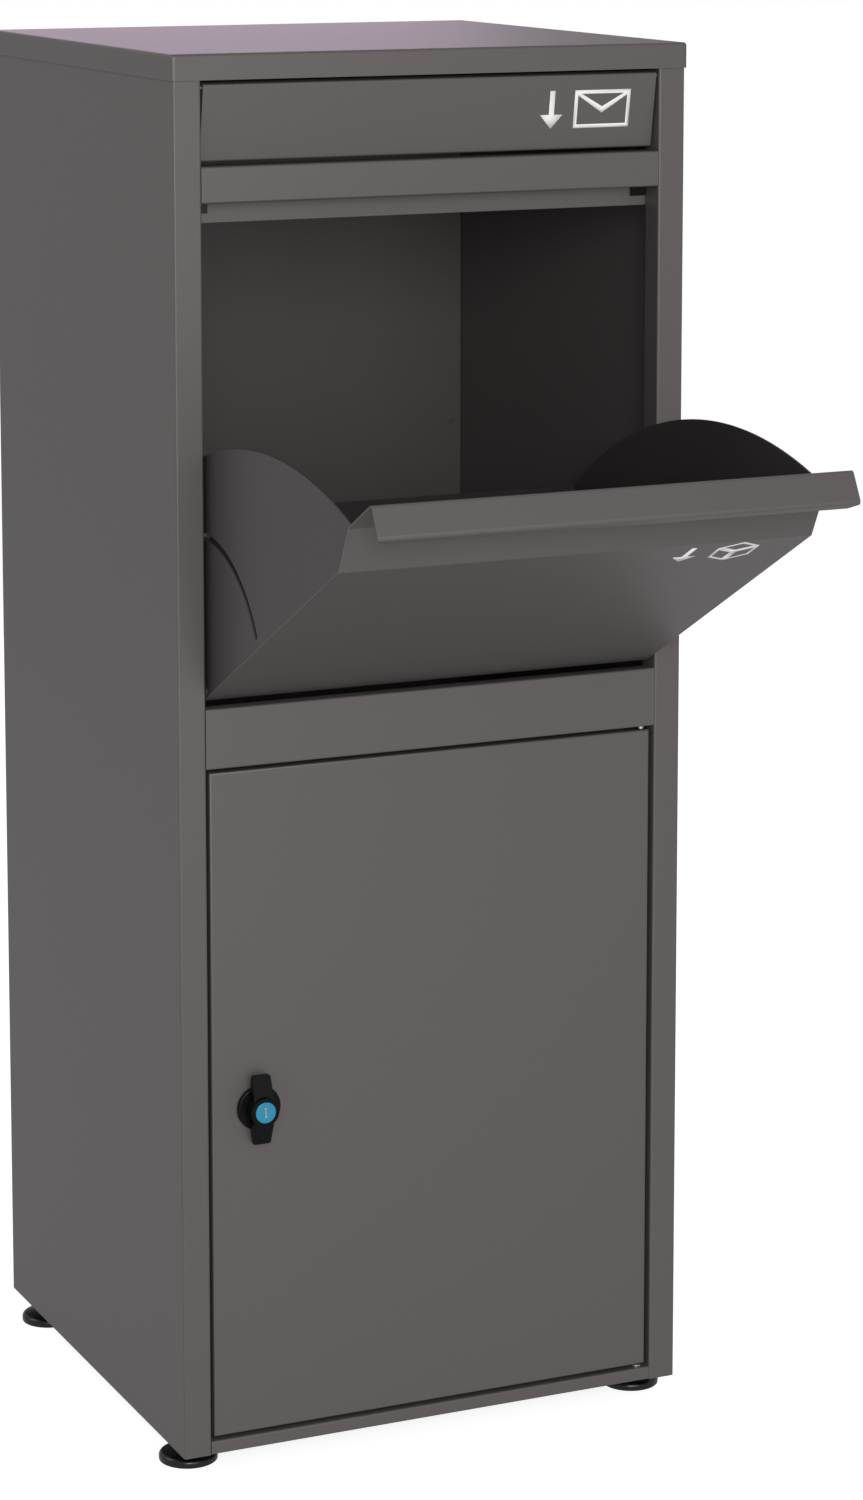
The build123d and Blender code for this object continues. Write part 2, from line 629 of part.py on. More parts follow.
FLAP_RETURN = 2.0  # where the lower edge's return ends, inward of the pivot
FLAP_SHELF = 4.0  # where the upper edge's return ends
EAR_MIDDLE = (5.8, -0.1)
EAR_SIZE = (16.0, 8.2)
with BuildPart() as flap_plate:
    with BuildSketch(flap_plane(-FLAP_HALF)):
        with BuildLine():
            FilletPolyline(
                (FLAP_BOTTOM, FLAP_RETURN),
                (FLAP_BOTTOM, FLAP_FACE),
                (FLAP_TOP, FLAP_FACE),
                (FLAP_TOP, FLAP_SHELF),
                radius=FOLD,
            )
            offset(amount=SHEET, side=Side.RIGHT)
        make_face()
    extrude(amount=2 * FLAP_HALF)
    for low in (-FLAP_HALF, FLAP_HALF - SHEET):
        with BuildSketch(flap_plane(low)):
            with Locations(EAR_MIDDLE):
                Rectangle(*EAR_SIZE)
            Circle(FLAP_PIN_RADIUS, mode=Mode.SUBTRACT)
        extrude(amount=SHEET)
keep(flap_plate.part, "flap_plate")

FLAP_PIN_CLIP = 3.2
FLAP_PIN_END = RETURN_INNER + 1.8
FLAP_PIVOT_RIGHT = Plane(origin=(0, FLAP_PIVOT_Y, FLAP_PIVOT_Z), x_dir=(0, 1, 0), z_dir=(1, 0, 0))
flap_pivot_pin = turned_pin(
    "flap_pivot_pin",
    FLAP_PIVOT_RIGHT,
    [
        (FLAP_PIN_RADIUS, FLAP_HALF - SHEET - 1.4, FLAP_PIN_END),
        (FLAP_PIN_CLIP, FLAP_PIN_END, FLAP_PIN_END + 1.0),
    ],
)
keep(pair(flap_pivot_pin), "flap_pivot_pins")

# --- Door ---------------------------------------------------------------------------------------

DOOR_BACK = DOOR_FACE + DOOR_PAN
DOOR_HEIGHT = DOOR_TOP - DOOR_BOTTOM
DOOR_MIDDLE = (0, (DOOR_TOP + DOOR_BOTTOM) / 2)
DOOR_BUSH_RADIUS = 3.75
LOCK_BARREL = 11.0
with BuildPart() as door_panel:
    with BuildSketch(facing_front(DOOR_BACK)):
        with Locations(DOOR_MIDDLE):
            Rectangle(2 * DOOR_HALF, DOOR_HEIGHT)
    extrude(amount=DOOR_PAN)
    fillet(door_panel.faces().sort_by(Axis.Y)[0].edges(), radius=FOLD)
    with BuildSketch(facing_front(DOOR_BACK - SHEET)):
        with Locations(DOOR_MIDDLE):
            Rectangle(2 * (DOOR_HALF - SHEET), DOOR_HEIGHT - 2 * SHEET)
    extrude(amount=DOOR_PAN - 2 * SHEET, mode=Mode.SUBTRACT)
    with BuildSketch(facing_front(DOOR_BACK)):
        with Locations(DOOR_MIDDLE):
            Rectangle(2 * (DOOR_HALF - DOOR_LIP), DOOR_HEIGHT - 2 * DOOR_LIP)
    extrude(amount=SHEET, mode=Mode.SUBTRACT)
    with BuildSketch(Plane.XY.offset(DOOR_BOTTOM), Plane.XY.offset(DOOR_TOP - SHEET)):
        with Locations((DOOR_PIVOT_X, DOOR_PIVOT_Y)):
            Circle(DOOR_BUSH_RADIUS)
    extrude(amount=SHEET, mode=Mode.SUBTRACT)
    with BuildSketch(facing_front(DOOR_FACE + SHEET)):
        with Locations((LOCK_X, LOCK_Z)):
            Circle(LOCK_BARREL)
    extrude(amount=SHEET, mode=Mode.SUBTRACT)
keep(door_panel.part, "door_panel")

# A hat-section stiffener spot-welded up the middle of the door.
HAT_INSET = 30.0  # each end stops short of the door's end by this
HAT_HALF = 10.0
HAT_BRIM = 22.0
HAT_BACK = DOOR_BACK - 2.0
with BuildPart() as door_stiffener:
    with BuildSketch(Plane.XY.offset(DOOR_BOTTOM + HAT_INSET)):
        with BuildLine():
            Polyline(
                (-HAT_BRIM, DOOR_FACE + SHEET),
                (-HAT_HALF, DOOR_FACE + SHEET),
                (-HAT_HALF, HAT_BACK),
                (HAT_HALF, HAT_BACK),
                (HAT_HALF, DOOR_FACE + SHEET),
                (HAT_BRIM, DOOR_FACE + SHEET),
            )
            offset(amount=SHEET, side=Side.LEFT)
        make_face()
    extrude(amount=DOOR_HEIGHT - 2 * HAT_INSET)
keep(door_stiffener.part, "door_stiffener")

DOOR_BUSH_LONG = 5.0
DOOR_BUSH_RIM = 4.8
with BuildPart() as door_bushes:
    for edge, way in ((DOOR_BOTTOM, 1), (DOOR_TOP, -1)):
        with BuildSketch(DOOR_PIVOT.offset(edge)):
            Circle(DOOR_BUSH_RADIUS)
            Circle(DOOR_PIN_RADIUS + RUNNING, mode=Mode.SUBTRACT)
        extrude(amount=way * DOOR_BUSH_LONG)
        with BuildSketch(DOOR_PIVOT.offset(edge)):
            Circle(DOOR_BUSH_RIM)
            Circle(DOOR_PIN_RADIUS + RUNNING, mode=Mode.SUBTRACT)
        extrude(amount=-way * DOOR_BUSH_FLANGE)
keep(door_bushes.part, "door_bushes")

# The lock's fixed body: a rosette on the door's face and a barrel through it, held by a nut.
LOCK_FRONT = Plane(origin=(LOCK_X, DOOR_FACE, LOCK_Z), x_dir=(1, 0, 0), z_dir=(0, -1, 0))
ROSETTE_RADIUS = 16.5
ROSETTE = 4.0
BARREL_LENGTH = 18.0
SPINDLE_RADIUS = 6.0
with BuildPart() as lock_body:
    with BuildSketch(LOCK_FRONT):
        Circle(ROSETTE_RADIUS)
    extrude(amount=ROSETTE)
    fillet(lock_body.faces().sort_by(Axis.Y)[0].edges(), radius=1.2)
    with BuildSketch(LOCK_FRONT):
        Circle(LOCK_BARREL)
    extrude(amount=-BARREL_LENGTH)
    with BuildSketch(LOCK_FRONT.offset(-BARREL_LENGTH)):
        Circle(SPINDLE_RADIUS + RUNNING)
    extrude(amount=BARREL_LENGTH + ROSETTE, mode=Mode.SUBTRACT)
keep(lock_body.part, "lock_body")

LOCK_NUT = (15.5, 4.5)  # radius across the corners and thickness
with BuildPart() as lock_nut:
    with BuildSketch(LOCK_FRONT.offset(-SHEET)):
        RegularPolygon(LOCK_NUT[0], 6)
        Circle(LOCK_BARREL, mode=Mode.SUBTRACT)
    extrude(amount=-LOCK_NUT[1])
keep(lock_nut.part, "lock_nut")

# --- Lock's moving pieces -----------------------------------------------------------------------

KNOB_BACK = ROSETTE + 0.3
HUB_FRONT = 15.4
HUB_RADIUS = 10.6
WING_REACH = 25.5
WING_TIP = (6.6, 8.2)  # a wing's half width and its height off the door, at the tip
WING_ROOT = (8.4, 12.4)  # the same beside the hub
WING_WIDEST = 10.0  # half the width of the blank that the wings are cut from
WING_SHOULDER = 9.0  # where the wing starts to fall away, from the middle
CAM_SQUARE = 7.0
PLUG_RADIUS = 7.75
PLUG_BACK = 6.0
CAM_BACK = 19.6  # how far behind the door's face the cam's near side lies
CAM_THICKNESS = 2.0
CAM_REACH = 48.0
CAM_SCREW_RADIUS = 2.0
CAM_SCREW_DEPTH = 10.0
WING_SIDE = Plane(origin=(LOCK_X - WING_WIDEST, DOOR_FACE, LOCK_Z), x_dir=(0, -1, 0), z_dir=(1, 0, 0))
with BuildPart() as wing_knob:
    with BuildSketch(WING_SIDE):
        with BuildLine():
            Polyline(
                (KNOB_BACK, -WING_REACH),
                (WING_TIP[1], -WING_REACH),
                (WING_ROOT[1], -WING_SHOULDER),
                (WING_ROOT[1], WING_SHOULDER),
                (WING_TIP[1], WING_REACH),
                (KNOB_BACK, WING_REACH),
                close=True,
            )
        make_face()
    extrude(amount=2 * WING_WIDEST)
    with BuildSketch(LOCK_FRONT):
        with BuildLine():
            Polyline(
                (-WING_TIP[0], -WING_REACH),
                (WING_TIP[0], -WING_REACH),
                (WING_ROOT[0], 0),
                (WING_TIP[0], WING_REACH),
                (-WING_TIP[0], WING_REACH),
                (-WING_ROOT[0], 0),
                close=True,
            )
        make_face()
    extrude(amount=HUB_FRONT, mode=Mode.INTERSECT)
    fillet(wing_knob.edges().filter_by(Axis.Y), radius=1.5)
    with BuildSketch(LOCK_FRONT.offset(KNOB_BACK)):
        Circle(HUB_RADIUS)
    extrude(amount=HUB_FRONT - KNOB_BACK)
    with BuildSketch(LOCK_FRONT.offset(KNOB_BACK)):
        Circle(SPINDLE_RADIUS)
    extrude(amount=-(KNOB_BACK + CAM_BACK))
    with BuildSketch(LOCK_FRONT.offset(-CAM_BACK)):
        Rectangle(CAM_SQUARE, CAM_SQUARE)
    extrude(amount=-CAM_THICKNESS)
    with BuildSketch(LOCK_FRONT.offset(PLUG_BACK)):
        Circle(PLUG_RADIUS + RUNNING)
    extrude(amount=HUB_FRONT - PLUG_BACK, mode=Mode.SUBTRACT)
    with BuildSketch(LOCK_FRONT.offset(-CAM_BACK - CAM_THICKNESS)):
        Circle(CAM_SCREW_RADIUS)
    extrude(amount=CAM_SCREW_DEPTH, mode=Mode.SUBTRACT)
keep(wing_knob.part, "wing_knob")

# The cam points up when unlocked, and a quarter turn takes it behind the left column's return.
CAM_WIDTH = 15.0
CAM_TAIL = 8.0
with BuildPart() as lock_cam:
    with BuildSketch(LOCK_FRONT.offset(-CAM_BACK)):
        with Locations((0, (CAM_REACH - CAM_TAIL) / 2)):
            Rectangle(CAM_WIDTH, CAM_REACH + CAM_TAIL)
        Rectangle(CAM_SQUARE, CAM_SQUARE, mode=Mode.SUBTRACT)
    extrude(amount=-CAM_THICKNESS)
    fillet(lock_cam.edges().filter_by(Axis.Y).group_by(Axis.Z)[-1], radius=CAM_WIDTH / 3)
keep(lock_cam.part, "lock_cam")

CAM_FAR = LOCK_FRONT.offset(-CAM_BACK - CAM_THICKNESS)
CAM_WASHER = (6.0, 1.0)  # radius and thickness
CAM_SCREW_HEAD = (4.2, 2.8)  # radius and height
keep(
    turned_pin(
        "cam_screw",
        CAM_FAR,
        [
            (CAM_SCREW_RADIUS, -CAM_WASHER[1], CAM_SCREW_DEPTH),
            (CAM_WASHER[0], -CAM_WASHER[1], 0.0),
            (CAM_SCREW_HEAD[0], -CAM_WASHER[1] - CAM_SCREW_HEAD[1], -CAM_WASHER[1]),
        ],
    ),
    "cam_screw",
)

PLUG_NEAR = HUB_FRONT + 0.5
PLUG_FAR = PLUG_BACK + 0.3
KEYWAY = (7.0, 1.6, 7.0)  # height, width and depth
with BuildPart() as key_plug:
    with BuildSketch(LOCK_FRONT.offset(PLUG_FAR)):
        Circle(PLUG_RADIUS)
    extrude(amount=PLUG_NEAR - PLUG_FAR)
    with BuildSketch(LOCK_FRONT.offset(PLUG_NEAR)):
        SlotOverall(KEYWAY[0], KEYWAY[1], rotation=90)
    extrude(amount=-KEYWAY[2], mode=Mode.SUBTRACT)
keep(key_plug.part, "key_plug")

# --- Levelling feet -----------------------------------------------------------------------------

SOCKET = 3.0
PAD_HEIGHT = 8.0
PAD_EDGE = (1.0, 3.6, 6.4)  # Z of the rim's bottom round, its straight part's top, and its shoulder
PAD_SHOULDER = 3.0
PAD_BOSS = 9.0
STUD_TOP = 42.0
STUD_COLLAR = (7.0, 11.0)  # radius and top
for corner, (foot_x, foot_y) in FOOT_PLACES.items():
    with BuildPart() as foot_pad:
        with BuildSketch(Plane.XZ):
            with BuildLine():
                Polyline((0, 0), (PAD_RADIUS - PAD_EDGE[0], 0))
                RadiusArc((PAD_RADIUS - PAD_EDGE[0], 0), (PAD_RADIUS, PAD_EDGE[0]), -PAD_EDGE[0])
                Polyline((PAD_RADIUS, PAD_EDGE[0]), (PAD_RADIUS, PAD_EDGE[1]))
                RadiusArc((PAD_RADIUS, PAD_EDGE[1]), (PAD_RADIUS - PAD_SHOULDER, PAD_EDGE[2]), -3.4)
                Polyline((PAD_RADIUS - PAD_SHOULDER, PAD_EDGE[2]), (PAD_BOSS, PAD_HEIGHT))
                Polyline((PAD_BOSS, PAD_HEIGHT), (STUD_M8, PAD_HEIGHT), (STUD_M8, SOCKET))
                Polyline((STUD_M8, SOCKET), (0, SOCKET), (0, 0))
            make_face()
        revolve(axis=Axis.Z)
    keep(foot_pad.part.moved(Location((foot_x, foot_y, 0))), f"foot_pad_{corner}")
    foot_stud = turned_pin(
        "foot_stud",
        Plane(origin=(foot_x, foot_y, 0)),
        [(STUD_M8, SOCKET, STUD_TOP), (STUD_COLLAR[0], PAD_HEIGHT, STUD_COLLAR[1])],
    )
    keep(foot_stud, f"foot_stud_{corner}")
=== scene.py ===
"""Looks for the parcel drop box: finishes, softened edges, keyway, printed marks and studio."""

import logging
import math
from dataclasses import dataclass
from enum import Enum
from typing import Callable

import bpy
from mathutils import Matrix, Vector


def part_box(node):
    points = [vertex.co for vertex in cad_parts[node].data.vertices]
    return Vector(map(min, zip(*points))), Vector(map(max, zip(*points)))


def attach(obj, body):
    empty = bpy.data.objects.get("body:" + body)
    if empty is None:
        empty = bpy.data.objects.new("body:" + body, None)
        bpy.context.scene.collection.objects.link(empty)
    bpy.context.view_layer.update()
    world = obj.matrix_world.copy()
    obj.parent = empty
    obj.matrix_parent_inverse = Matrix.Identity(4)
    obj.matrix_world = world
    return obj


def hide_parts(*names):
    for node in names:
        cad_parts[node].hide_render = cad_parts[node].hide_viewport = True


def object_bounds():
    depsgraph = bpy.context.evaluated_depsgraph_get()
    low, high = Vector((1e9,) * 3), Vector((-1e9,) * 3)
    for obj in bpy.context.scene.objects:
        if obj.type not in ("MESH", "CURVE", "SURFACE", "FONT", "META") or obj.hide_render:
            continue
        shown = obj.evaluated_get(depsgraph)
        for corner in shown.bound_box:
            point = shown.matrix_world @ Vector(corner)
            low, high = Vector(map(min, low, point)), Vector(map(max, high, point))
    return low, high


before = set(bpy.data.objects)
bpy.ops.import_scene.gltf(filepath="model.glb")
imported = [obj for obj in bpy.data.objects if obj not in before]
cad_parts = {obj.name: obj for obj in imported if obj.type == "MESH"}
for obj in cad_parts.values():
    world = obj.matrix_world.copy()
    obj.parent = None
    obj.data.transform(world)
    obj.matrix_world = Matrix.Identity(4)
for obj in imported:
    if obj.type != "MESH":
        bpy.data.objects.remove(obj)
CAD_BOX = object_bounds()

log = logging.getLogger("parcel_drop_box")

MM = 0.001
WELD = 0.002 * MM  # vertices closer than this are one vertex
FLAT_TURN = math.radians(0.4)  # faces that turn less than this are one flat face
SMOOTH_TURN = math.radians(32)  # edges that turn less than this are shaded smooth
CUT_TURN = math.radians(50)  # edges that turn more than this are rounded
FORWARD = -0.3  # a face whose normal's Y is below this looks forward
SQUARE_ON = -0.9  # a face whose normal's Y is below this looks straight forward

# What the noise patterns of every finish share.
GRAIN_DETAIL = 2.0
GRAIN_ROUGHNESS = 0.5
MOTTLE_DETAIL = 3.0
BUMP_STRENGTH = 0.6
COAT_ROUGHNESS = 0.12


def srgb(code: str) -> tuple[float, float, float, float]:
    """Turn an sRGB hex colour into a linear one.

    Args:
        code: six hex digits, red first.

    Returns:
        Linear red, green, blue and an alpha of one.
    """
    channels = [int(code[i : i + 2], 16) / 255 for i in (0, 2, 4)]
    linear = [c / 12.92 if c <= 0.04045 else ((c + 0.055) / 1.055) ** 2.4 for c in channels]
    return (*linear, 1.0)


def add_node(
    tree: bpy.types.NodeTree, kind: str, sets: dict | None = None, **links: bpy.types.NodeSocket
) -> bpy.types.Node:
    """Add a shader node with its settings and links.

    Args:
        tree: the material's node tree.
        kind: the node's type name without its ShaderNode prefix.
        sets: values by attribute name or input socket name.
        links: an output socket for each input, its name written with underscores for spaces.

    Returns:
        The new node.
    """
    node = tree.nodes.new(f"ShaderNode{kind}")
    for name, value in (sets or {}).items():
        if name in node.inputs:
            node.inputs[name].default_value = value
        else:
            setattr(node, name, value)
    for name, socket in links.items():
        tree.links.new(socket, node.inputs[name.replace("_", " ")])
    return node


@dataclass(frozen=True)
class Finish:
    """One surface finish, from what the material is and how its surface was made.

    Attributes:
        name: the material's name.
        slot: the record's material slot that pieces with this finish belong to; not used.
        colour: sRGB hex of the clean surface.
        shade: sRGB hex of its darker places.
        roughness: middle roughness.
        roughness_spread: how far the roughness wanders either side of its middle.
        metallic: one for bare metal, nought for paint and plastic.
        grain_mm: size of the finest bumps.
        grain_depth_mm: height of the finest bumps.
        mottle_mm: size of the patches where colour and gloss drift.
        specular: strength of the mirror reflection, a half for most paints and plastics.
        stretch: how much longer the grain is along Z than across, for a drawn or brushed surface.
        coat: strength of a clear glossy top layer.
    """

    name: str
    slot: str
    colour: str
    shade: str
    roughness: float
    roughness_spread: float
    metallic: float = 0.0
    grain_mm: float = 0.9
    grain_depth_mm: float = 0.01
    mottle_mm: float = 60.0
    specular: float = 0.5
    stretch: float = 1.0
    coat: float = 0.0

    def material(self) -> bpy.types.Material:
        """Make the material once, or return the one already made."""
        made = bpy.data.materials.get(self.name)
        if made:
            return made
        made = bpy.data.materials.new(self.name)
        made.use_nodes = True
        tree = made.node_tree
        tree.nodes.clear()
        place = add_node(tree, "TexCoord").outputs["Object"]
        along = add_node(tree, "Mapping", {"Scale": (1, 1, 1 / self.stretch)}, Vector=place)
        grain = add_node(
            tree,
            "TexNoise",
            {
                "Scale": 1 / (self.grain_mm * MM),
                "Detail": GRAIN_DETAIL,
                "Roughness": GRAIN_ROUGHNESS,
            },
            Vector=along.outputs["Vector"],
        )
        mottle = add_node(
            tree,
            "TexNoise",
            {"Scale": 1 / (self.mottle_mm * MM), "Detail": MOTTLE_DETAIL},
            Vector=place,
        )
        tint = add_node(tree, "Mix", {"data_type": "RGBA"}, Factor=mottle.outputs["Fac"])
        # The colours of a Mix node share their names with its numbers, so they go by place.
        tint.inputs[6].default_value = srgb(self.shade)
        tint.inputs[7].default_value = srgb(self.colour)
        gloss = add_node(
            tree,
            "MapRange",
            {
                "To Min": self.roughness - self.roughness_spread,
                "To Max": self.roughness + self.roughness_spread,
            },
            Value=mottle.outputs["Fac"],
        )
        bump = add_node(
            tree,
            "Bump",
            {"Strength": BUMP_STRENGTH, "Distance": self.grain_depth_mm * MM},
            Height=grain.outputs["Fac"],
        )
        shader = add_node(
            tree,
            "BsdfPrincipled",
            {
                "Metallic": self.metallic,
                "Specular IOR Level": self.specular,
                "Coat Weight": self.coat,
                "Coat Roughness": COAT_ROUGHNESS,
            },
            Base_Color=tint.outputs[2],
            Roughness=gloss.outputs["Result"],
            Normal=bump.outputs["Normal"],
        )
        add_node(tree, "OutputMaterial", Surface=shader.outputs["BSDF"])
        return made


# Polyester powder coat, baked on: a fine orange peel that breaks up highlights, satin, no metal.
POWDER_COAT = Finish(
    name="anthracite_powder_coat",
    slot="anthracite_powder_coat",
    colour="585253",
    shade="524d4e",
    roughness=0.42,
    roughness_spread=0.05,
    grain_mm=2.2,
    grain_depth_mm=0.03,
    mottle_mm=70.0,
)
# The hopper's cheeks and back plate: the same coat, thinner and a little smoother, its colour
# darkened as painted shade for the shadow that falls in and around the hopper.
SHADE_DARKENED_COAT = Finish(
    name="shade_darkened_powder_coat",
    slot="anthracite_powder_coat",
    colour="3a3536",
    shade="342f31",
    roughness=0.4,
    roughness_spread=0.05,
    grain_mm=2.0,
    grain_depth_mm=0.02,
    mottle_mm=70.0,
)
# Bright zinc plate over steel: cool, mirror-like under a fine drawn grain.
ZINC_PLATE = Finish(
    name="bright_zinc_plate",
    slot="zinc_plated_steel",
    colour="c6c8c8",
    shade="a6a9ab",
    roughness=0.28,
    roughness_spread=0.08,
    metallic=1.0,
    grain_mm=0.25,
    grain_depth_mm=0.006,
    mottle_mm=8.0,
    stretch=12.0,
)
# Nickel silver of the keyway: bright and hard, with fine marks where keys have slid in.
NICKEL_SILVER = Finish(
    name="polished_nickel_silver",
    slot="zinc_plated_steel",
    colour="e4e6e8",
    shade="ccd0d3",
    roughness=0.22,
    roughness_spread=0.06,
    metallic=1.0,
    grain_mm=0.2,
    grain_depth_mm=0.003,
    mottle_mm=1.5,
    stretch=8.0,
)
# Chemically blackened steel: dark, slightly oily sheen.
BLACK_OXIDE = Finish(
    name="black_oxide_steel",
    slot="black_oxide_steel",
    colour="2c2b2e",
    shade="1d1d1f",
    roughness=0.36,
    roughness_spread=0.06,
    metallic=1.0,
    grain_mm=0.3,
    grain_depth_mm=0.005,
    mottle_mm=6.0,
)
# The cabinet's coat on rivets and screws, a little glossier where it pooled on the small heads.
PAINTED_FASTENER = Finish(
    name="painted_fastener",
    slot="painted_fasteners",
    colour="5b5657",
    shade="4d494a",
    roughness=0.36,
    roughness_spread=0.05,
    grain_mm=0.7,
    mottle_mm=5.0,
)
# Moulded black nylon: waxy, soft highlights.
NYLON = Finish(
    name="moulded_nylon",
    slot="nylon",
    colour="1c1c1e",
    shade="151517",
    roughness=0.5,
    roughness_spread=0.05,
    grain_mm=0.4,
    mottle_mm=9.0,
)
# Moulded ABS of the lock: near black, polished moulds with a faint flow grain.
KNOB_PLASTIC = Finish(
    name="moulded_abs",
    slot="black_plastic",
    colour="0b0a0b",
    shade="060607",
    roughness=0.34,
    roughness_spread=0.05,
    grain_mm=0.5,
    grain_depth_mm=0.008,
    mottle_mm=9.0,
    specular=0.15,
)
# Glossy moulded acetal cap of the key plug, coloured right through.
BLUE_CAP = Finish(
    name="glossy_blue_acetal",
    slot="blue_plastic",
    colour="168fb2",
    shade="137f9f",
    roughness=0.24,
    roughness_spread=0.03,
    grain_mm=0.5,
    grain_depth_mm=0.002,
    mottle_mm=6.0,
    coat=0.3,
)
# Hard moulded foot pad: black, smooth where the mould was polished.
FOOT_PLASTIC = Finish(
    name="moulded_foot_plastic",
    slot="black_foot_plastic",
    colour="0c0b0c",
    shade="070707",
    roughness=0.26,
    roughness_spread=0.08,
    grain_mm=0.8,
    grain_depth_mm=0.012,
    mottle_mm=14.0,
)
# Screen-printed ink: a thin white film, matt, slightly uneven where it took on the coat.
PRINTED_INK = Finish(
    name="screen_printed_ink",
    slot="white_print",
    colour="f4f3f4",
    shade="e9e8ea",
    roughness=0.5,
    roughness_spread=0.05,
    grain_mm=0.8,
    grain_depth_mm=0.008,
    mottle_mm=4.0,
)


def deselect() -> None:
    """Leave edit mode and deselect every object."""
    if bpy.context.object and bpy.context.object.mode != "OBJECT":
        bpy.ops.object.mode_set(mode="OBJECT")
    bpy.ops.object.select_all(action="DESELECT")


def pick(piece: bpy.types.Object) -> None:
    """Make this the one selected and active object."""
    deselect()
    piece.select_set(True)
    bpy.context.view_layer.objects.active = piece


def edit(piece: bpy.types.Object, faces: Callable[[bpy.types.MeshPolygon], bool]) -> None:
    """Enter edit mode in face mode with only some faces selected.

    Args:
        piece: the mesh object.
        faces: says whether a face is to be selected.
    """
    pick(piece)
    bpy.ops.object.mode_set(mode="EDIT")
    bpy.ops.mesh.select_mode(type="FACE")
    bpy.ops.mesh.select_all(action="DESELECT")
    bpy.ops.object.mode_set(mode="OBJECT")
    for face in piece.data.polygons:
        face.select = faces(face)
    bpy.ops.object.mode_set(mode="EDIT")


def modify(piece: bpy.types.Object, kind: str, **settings) -> None:
    """Add a modifier with these settings and apply it."""
    pick(piece)
    modifier = piece.modifiers.new(kind.lower(), kind)
    for name, value in settings.items():
        setattr(modifier, name, value)
    bpy.ops.object.modifier_apply(modifier=modifier.name)


def settle(piece: bpy.types.Object, turn: float = SMOOTH_TURN) -> None:
    """Put the piece's place into its mesh, and shade it smooth up to an angle."""
    pick(piece)
    bpy.ops.object.transform_apply(location=True, rotation=True, scale=True)
    bpy.ops.object.shade_smooth_by_angle(angle=turn)


def face_outwards(piece: bpy.types.Object) -> None:
    """Merge doubled vertices and turn every face of a closed piece outwards."""
    edit(piece, lambda face: True)
    bpy.ops.mesh.remove_doubles(threshold=WELD)
    bpy.ops.mesh.normals_make_consistent(inside=False)
    bpy.ops.object.mode_set(mode="OBJECT")


def mount(piece: bpy.types.Object, finish: Finish, body: str, *nodes: str) -> bpy.types.Object:
    """Dress a finished piece, let it ride on its body and stand for its CAD nodes.

    Args:
        piece: the finished mesh.
        finish: its surface.
        body: the CAD body that carries it.
        nodes: the CAD nodes that it replaces, if any.

    Returns:
        The same piece.
    """
    if not piece.data.materials:
        piece.data.materials.append(finish.material())
    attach(piece, body)
    if nodes:
        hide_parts(*nodes)
    log.info("%s rides on %s", piece.name, body)
    return piece


def soften(
    node: str, name: str, body: str, finish: Finish, edge_mm: float, segments: int = 2
) -> bpy.types.Object:
    """Copy a CAD node, round its cut edges as the coat rounds them, and let the copy stand for it.

    Args:
        node: the CAD node.
        name: the new piece's name.
        body: the body it rides on.
        finish: its surface.
        edge_mm: radius of a rounded edge.
        segments: facets round that radius.

    Returns:
        The new piece.
    """
    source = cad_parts[node]
    piece = bpy.data.objects.new(name, source.data.copy())
    bpy.context.scene.collection.objects.link(piece)
    piece.data.materials.clear()
    edit(piece, lambda face: True)
    bpy.ops.mesh.remove_doubles(threshold=WELD)
    bpy.ops.mesh.dissolve_limited(angle_limit=FLAT_TURN)
    bpy.ops.object.mode_set(mode="OBJECT")
    modify(
        piece,
        "BEVEL",
        width=edge_mm * MM,
        segments=segments,
        limit_method="ANGLE",
        angle_limit=CUT_TURN,
        use_clamp_overlap=True,
        harden_normals=False,
    )
    settle(piece)
    modify(piece, "WEIGHTED_NORMAL", mode="FACE_AREA", weight=100, keep_sharp=True)
    return mount(piece, finish, body, node)


class Corner(Enum):
    """The cabinet's four corners, named as their CAD feet are."""

    FRONT_LEFT = "front_left"
    FRONT_RIGHT = "front_right"
    BACK_LEFT = "back_left"
    BACK_RIGHT = "back_right"


@dataclass
class Sheetwork:
    """Every folded sheet of the box, with its coated edges rounded."""

    edge_mm: float = 0.35

    def build(self) -> None:
        """Soften each sheet on each body."""
        sheets = {
            "cabinet": (
                "left_side_panel",
                "right_side_panel",
                "back_panel",
                "base_panel",
                "top_cap",
                "upper_rail",
                "middle_rail",
                "bottom_rail",
                "letter_tray",
                "door_stops",
            ),
            "drawer": ("drawer_front",),
            "flap": ("flap_plate",),
            "door": ("door_panel", "door_stiffener"),
        }
        for body, nodes in sheets.items():
            for node in nodes:
                soften(node, f"{node}_sheet", body, POWDER_COAT, self.edge_mm)
        # The hopper's sheets get the darkened coat: painted shade for the shadow inside the
        # hopper.
        for node in ("drawer_cheek_left", "drawer_cheek_right", "drawer_back_plate"):
            soften(node, f"{node}_sheet", "drawer", SHADE_DARKENED_COAT, self.edge_mm)


